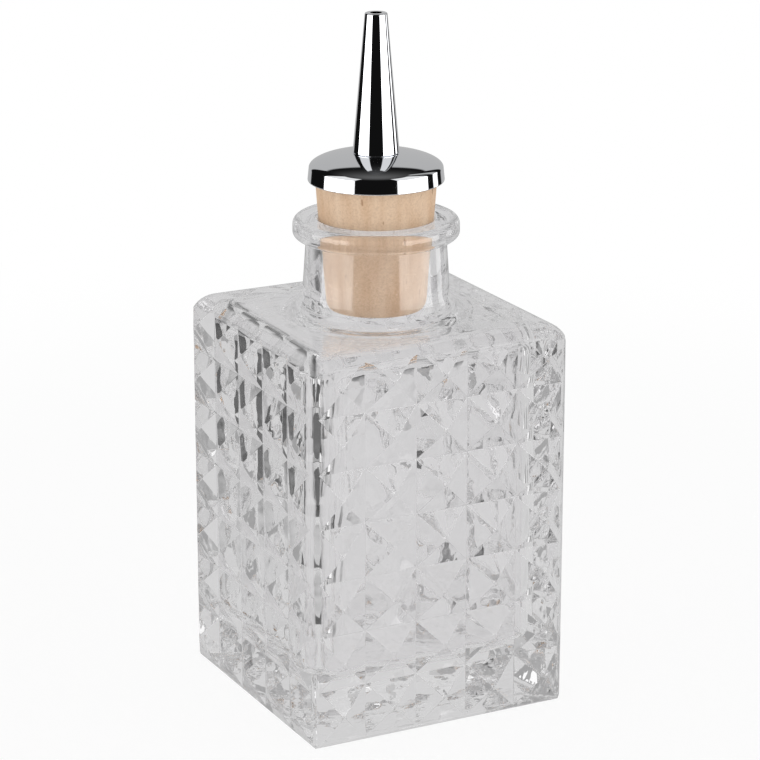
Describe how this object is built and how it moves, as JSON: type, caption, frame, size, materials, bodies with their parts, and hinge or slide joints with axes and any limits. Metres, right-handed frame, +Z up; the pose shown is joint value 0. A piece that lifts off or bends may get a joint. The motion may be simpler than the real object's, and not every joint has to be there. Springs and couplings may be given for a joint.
{
  "type": "bitters bottle",
  "caption": "Square pressed-glass bitters bottle with diamond-point faces, tapered cork stopper, domed metal cap and conical dasher spout.",
  "frame": {"origin": "middle of the base, on the plane it stands on", "axes": "+Z up along the neck and spout, -Y towards the wide face in the picture, -X towards the narrow one"},
  "size_m": [0.0556, 0.0556, 0.1295],
  "materials": {
    "clear_glass": "clear pressed glass, glossy",
    "cork": "smooth fine-grained cork, matt",
    "cap_chrome": "mirror-polished chrome plate",
    "spout_chrome": "mirror-polished chrome plate",
    "stem_steel": "drawn stainless tube, satin"
  },
  "bodies": {
    "bottle": {"glass_bottle": "clear_glass"},
    "stopper": {"cork_stopper": "cork", "dasher_cap": "cap_chrome", "pour_spout": "spout_chrome", "stem_tube": "stem_steel"}
  },
  "joints": [
    {"name": "stopper_lift", "type": "slide", "parent": "bottle", "child": "stopper", "axis": [0, 0, 1], "range_m": [0, 0.036]}
  ]
}
